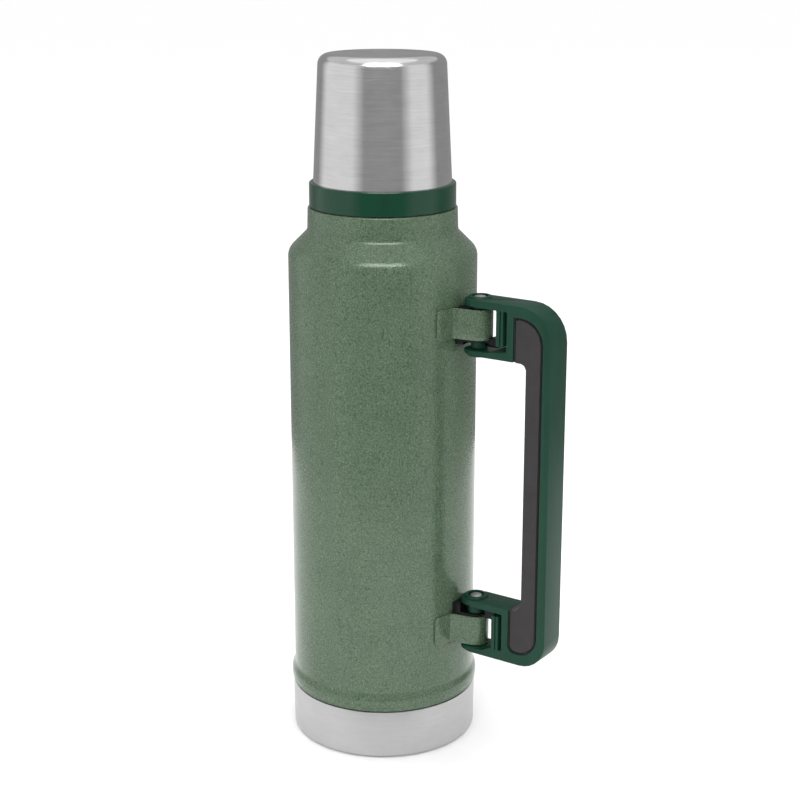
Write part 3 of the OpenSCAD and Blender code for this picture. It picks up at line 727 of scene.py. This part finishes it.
def leaf_groove(name, side, low, high):
    """The groove down one side of a leaf."""
    middle = side * WIDTH / 2
    near, far = middle - GROOVE_DEPTH, middle + GROOVE_DEPTH
    corners = [(LEAF_GROOVE[0], near), (LEAF_GROOVE[1], near), (LEAF_GROOVE[1], far), (LEAF_GROOVE[0], far)]
    return upright(name, corners, low, high)


def handle():
    piece = soften(from_side("handle_moulding", handle_outline(), WIDTH), 2.8, 50, 6, handle_rounding)
    solids = []
    for fork in (UPPER_FORK, LOWER_FORK):
        high, ear, toe, low = fork["boss"]
        solids += [boss("boss_a", high, ear), boss("boss_b", low, toe)]
    solids += [ridge_bar("ridge_a", LEAF_END[0]), ridge_bar("ridge_b", LEAF_END[1] - 2.4)]
    for solid in solids:
        combine(piece, [solid])
    cuts = [ear_slot()]
    for fork in (UPPER_FORK, LOWER_FORK):
        high, ear, toe, low = fork["boss"]
        cuts += [drill("bore", 2.5, low - 1, high + 1), drill("recess_a", 4.3, high - 1.9, high + 0.3),
                 drill("recess_b", 4.3, low - 0.3, low + 1.9)]
    for side in (-1, 1):
        cuts += [leaf_groove("groove_a", side, LEAF_END[0] - 1, UPPER_FORK["ear"][1]),
                 leaf_groove("groove_b", side, LOWER_FORK["toe"][0], LEAF_END[1] + 1)]
    for cut in cuts:
        combine(piece, [cut], "DIFFERENCE")
    return smooth(piece, 32)


def grip():
    """The grip: a full-width core, and side pads that a narrow groove parts from the frame."""
    groove, depth, skin = 1.5, 2.8, 3.0
    hand = 93.1
    foot_top, toe_bottom = LOWER_FORK["ear"][0], UPPER_FORK["toe"][1]

    def outline(gap, spare=0.0):
        left, front = WEB[1] + gap, hand - spare
        low, high = foot_top + spare, toe_bottom - spare
        return rounded([
            (left, low, 0.2), (front, low, 6.6), (front, high, 3.6), (left, high, 0.2),
            (left, POCKET_TOP - gap, 0.3), (POCKET_BACK - gap, POCKET_TOP - gap, 13 - gap),
            (POCKET_BACK - gap, POCKET_BOTTOM + gap, 11 - gap), (left, POCKET_BOTTOM + gap, 4 - gap / 2),
        ], 8)

    def hand_edge(middle, edge):
        """The hand side is well rounded, and the edges at the groove only a little."""
        if abs(edge.y) > 1:
            return 0
        towards_hand = middle.x < hand + 0.2 and foot_top - 0.5 < middle.z < toe_bottom + 0.5
        return 1.0 if towards_hand else 0.2

    piece = from_side("grip_pads", outline(groove), WIDTH)
    soften(piece, skin, 50, 6, hand_edge)
    core = from_side("grip_core", outline(0.0), WIDTH - 2 * depth)
    combine(piece, [core])
    # a dark rubber lining on the groove's frame wall, set below the surface: a dark sheet put in the groove
    # as painted shade, so the groove reads black
    lip = from_side("grip_shade_lip", outline(0.0), WIDTH - 2.0)
    combine(lip, [from_side("shade_lip_cut", outline(0.45, 1.0), WIDTH + 2)], "DIFFERENCE")
    return smooth(combine(piece, [lip]), 32)


dress(handle(), "handle_plastic", "handle", "handle_frame")
dress(grip(), "grip_rubber", "handle", "grip")


# ---------------------------------------------------------------- cup

def cup():
    rim, top = cup_low.z, cup_high.z
    t, edge = 0.5, 5.5
    r_rim, r_top = cup_high.x, 33.3
    slope = (r_rim - r_top) / (top - edge - rim)

    def line(inset):
        return ([(r_rim - inset, rim + 0.2 * (inset > 0))]
                + [(r_rim - slope * f * (top - edge - rim) - inset, rim + f * (top - edge - rim))
                   for f in (0.02, 0.5, 0.98)]
                + arc(r_top - edge, top - edge, edge - inset, 3, 88, 12)
                + [(18, top - inset + 0.0), (0, top - inset)])
    return turned("steel_cup", line(0) + line(t)[::-1], segments=256)


def liner():
    low, high = box("cup_liner")
    t = 1.2
    bore = box("cup_liner")[1].x - t
    step = low.z + 11.7
    wide, narrow = cup_high.x - 4.4, 26.6

    def line(out):
        return ([(bore + out, low.z), (bore + out, step + out), (wide + out, step + out)]
                + arc(narrow, high.z - t - 4, 4 + out, 3, 90, 8) + [(0, high.z - t + out)])
    return turned("cup_lining", line(t) + line(0)[::-1])


def seal(name, node, inner):
    """A soft ring with round edges."""
    low, high = box(node)
    r = (high.z - low.z) * 0.32
    return turned(name, rounded([(inner, low.z, r), (high.x, low.z, r), (high.x, high.z, r),
                                 (inner, high.z, r)], 4))


dress(cup(), "brushed_steel", "cup", "cup_shell")
dress(liner(), "liner_plastic", "cup", "cup_liner")
dress(seal("cup_seal", "cup_seal_ring", box("cup_liner")[1].x - 1.2), "seal_rubber", "cup_seal",
      "cup_seal_ring")


# ---------------------------------------------------------------- stopper

body_low, body_high = box("stopper_body")
knob_low, knob_high = box("stopper_cap")


def stopper_plug():
    """The hollow plug: a screw thread, broken by the pouring channel, under a flange."""
    tip, root, wall, flange = 23.6, 25.2, 2.0, 30.6
    seat = box("stopper_gasket")[1].z
    thread_low, thread_high = 296.0, seat - 3.5
    rows = 80
    side = [(root, thread_low - 4 + (seat - 1 - thread_low + 4) * i / rows) for i in range(rows + 1)]
    outline = ([(tip - wall, body_low.z)] + [(tip - 1, body_low.z), (tip - 0.3, body_low.z + 0.3),
               (tip, body_low.z + 1)] + side + [(root, seat), (flange - 0.5, seat), (flange, seat + 0.5)]
               + arc(flange - 1, body_high.z - 1, 1, 0, 90, 4)
               + [(root - wall, body_high.z), (root - wall, thread_low - 4)])
    screw = ridge(root, 1.35, 6.0, 1, thread_low, thread_high, 3.0)

    def relief(angle, radius, z):
        if radius > root + 0.5 or z > seat - 0.5:
            return radius
        off = abs((angle + math.pi) % (2 * math.pi) - math.pi) * root
        share = max(0.0, min(1.0, (off - 4.0) / 0.8))
        return radius + (screw(angle, radius, z) - radius) * share
    return turned("stopper_plug", outline, relief, 360)


def stopper_knob():
    """The fluted knob that turns the stopper."""
    r, low, high = knob_high.x, knob_low.z, knob_high.z
    flutes, depth = 12, 1.35
    rows = 26
    side = [(r, low + (high - 3 - low) * i / rows) for i in range(rows + 1)]
    crown = arc(r - 3, high - 3, 3, 0, 90, 8)[1:]
    dish = [(r - 6, high), (r - 7, high - 0.25), (r - 8.2, high - 0.6), (0, high - 0.6)]
    inside = [(0, high - 2.6), (r - 6, high - 2.6), (r - 4, high - 5), (r - 3, low)]

    def relief(angle, radius, z):
        if radius < r - 3.01 or z < low + 1.5:
            return radius
        wave = (0.5 + 0.5 * math.cos(flutes * angle)) ** 2
        ease = min(1.0, (z - low - 1.5) / 2.5)
        return radius - depth * wave * ease * (radius - r + 3.01) / 3.01
    return turned("stopper_knob", side + crown + dish + inside, relief, 360)


dress(stopper_plug(), "stopper_plastic", "stopper", "stopper_body")
dress(stopper_knob(), "stopper_plastic", "stopper", "stopper_cap")
dress(seal("stopper_seal", "stopper_gasket", 27.2), "seal_rubber", "stopper_seal", "stopper_gasket")

# The pieces that stay as the CAD made them get their materials here.
KEPT = {
    "vessel_steel": ["outer_bottom"],
    "braze_metal": ["vacuum_plug", "getter"],
    "foil": ["radiation_foil"],
    "foam": ["cup_foam", "stopper_foam"],
    "stopper_plastic": ["stopper_floor"],
}
for material, nodes in KEPT.items():
    for node in nodes:
        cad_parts[node].data.materials.clear()
        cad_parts[node].data.materials.append(MATERIALS[material])


# ---------------------------------------------------------------- camera, floor and light

AZIMUTH = math.radians(35)               # the photographer stood this far round towards the handle
DISTANCE, HEIGHT = 0.8767, 0.4411
PITCH, YAW = math.radians(16.10), math.radians(0.592)


def from_camera(right, back, up):
    """A point given by its distance right of the flask, behind it, and above the floor."""
    c, s = math.cos(AZIMUTH), math.sin(AZIMUTH)
    return Vector((right * c - back * s, right * s + back * c, up))


def add_camera():
    data = bpy.data.cameras.new("camera")
    data.lens, data.sensor_width = 75.78, 36
    data.clip_start, data.clip_end = 0.05, 60
    camera = bpy.data.objects.new("camera", data)
    bpy.context.scene.collection.objects.link(camera)
    camera.location = from_camera(0, -DISTANCE, HEIGHT)
    ahead = from_camera(math.sin(YAW) * math.cos(PITCH), math.cos(YAW) * math.cos(PITCH), -math.sin(PITCH))
    camera.rotation_mode = "QUATERNION"
    camera.rotation_quaternion = ahead.to_track_quat("-Z", "Y")
    bpy.context.scene.camera = camera


def add_floor():
    floor = turned("floor", [(0, 0), (12000, 0), (12000, -10), (0, -10)], segments=96)
    floor.location.z = -0.0002
    paint = Paint("floor_white", (0.975, 0.975, 0.975), 0.8, Specular_IOR_Level=0.1)
    floor.data.materials.append(paint.material)


def fade_stops(dim, panels):
    """The brightness right round a wall: dim, with soft-edged panels, each (from, to, brightness)."""
    stops = [(-180, dim)]
    for left, right, value in panels:
        stops += [(left - FADE, dim), (left + FADE, value), (right - FADE, value), (right + FADE, dim)]
    return stops + [(180, dim)]


def add_wall(name, low, high, dim, panels):
    """The studio's round wall with its soft panels, seen only in the flask's reflections.

    The angles count from the camera's side: below 0 is to the left.
    """
    count = WALL_SIDES
    points = [(WALL_R * math.cos(2 * math.pi * i / count), WALL_R * math.sin(2 * math.pi * i / count), z)
              for i in range(count) for z in (low, high)]
    faces = [(2 * i, (2 * i + 2) % (2 * count), (2 * i + 3) % (2 * count), 2 * i + 1) for i in range(count)]
    wall = new_piece(name, points, faces)
    material = bpy.data.materials.new(name)
    material.use_nodes = True
    nodes, links = material.node_tree.nodes, material.node_tree.links
    nodes.clear()
    turn = nodes.new("ShaderNodeVectorRotate")
    turn.rotation_type = "Z_AXIS"
    turn.inputs["Angle"].default_value = math.pi / 2 - AZIMUTH
    sweep = nodes.new("ShaderNodeTexGradient")
    sweep.gradient_type = "RADIAL"
    ramp = nodes.new("ShaderNodeValToRGB")
    glow = nodes.new("ShaderNodeEmission")
    links.new(nodes.new("ShaderNodeTexCoord").outputs["Object"], turn.inputs["Vector"])
    links.new(turn.outputs["Vector"], sweep.inputs["Vector"])
    links.new(sweep.outputs["Fac"], ramp.inputs["Fac"])
    links.new(ramp.outputs["Color"], glow.inputs["Color"])
    links.new(glow.outputs["Emission"], nodes.new("ShaderNodeOutputMaterial").inputs["Surface"])
    glow.inputs["Strength"].default_value = GLOW
    stops = fade_stops(dim, panels)
    marks = ramp.color_ramp.elements
    while len(marks) < len(stops):
        marks.new(0.5)
    for mark, (angle, value) in zip(marks, stops):
        mark.position = (angle + 180) / 360
        mark.color = (value / GLOW,) * 3 + (1,)
    wall.data.materials.append(material)
    wall.visible_camera = wall.visible_diffuse = wall.visible_shadow = False
    wall.visible_transmission = wall.visible_volume_scatter = False


GLOW = 10.0                              # the brightness that a full ramp stands for
WALL_R, WALL_SIDES = 550, 180
WALL_FOOT, WALL_MIDDLE, WALL_TOP = -1, 650, 1150
WALL_DIM, UPPER_DIM = 0.3, 0.6           # the brightness between the panels
FADE = 10                                # degrees: half the soft edge of a panel
SIDE_PANELS = [(-120, -40, 0.8), (40, 90, 0.8)]
FRONT_SOFTBOX = [(-30, 30, 8.0)]


def add_area(name, place, aim, size, power):
    data = bpy.data.lights.new(name, "AREA")
    data.shape, data.size, data.size_y = "RECTANGLE", size[0], size[1]
    data.energy = power
    lamp = bpy.data.objects.new(name, data)
    bpy.context.scene.collection.objects.link(lamp)
    lamp.location = place
    lamp.rotation_mode = "QUATERNION"
    lamp.rotation_quaternion = (aim - place).to_track_quat("-Z", "Y")
    lamp.visible_camera = lamp.visible_glossy = False
    return lamp


def add_lights():
    middle = Vector((0, 0, 0.2))
    add_area("overhead", from_camera(0, 0.1, 1.6), middle, (1.2, 1.2), 9)
    add_area("front", from_camera(0, -1.2, 0.8), middle, (1.0, 0.5), 5)
    world = bpy.data.worlds.new("studio")
    bpy.context.scene.world = world
    world.use_nodes = True
    world.node_tree.nodes["Background"].inputs["Color"].default_value = (1, 1, 1, 1)
    world.node_tree.nodes["Background"].inputs["Strength"].default_value = 1.02
    bpy.context.scene.view_settings.view_transform = "Standard"


add_camera()
add_floor()
add_wall("side_wall", WALL_FOOT, WALL_MIDDLE, WALL_DIM, SIDE_PANELS)
add_wall("front_softbox", WALL_MIDDLE, WALL_TOP, UPPER_DIM, FRONT_SOFTBOX)
add_lights()
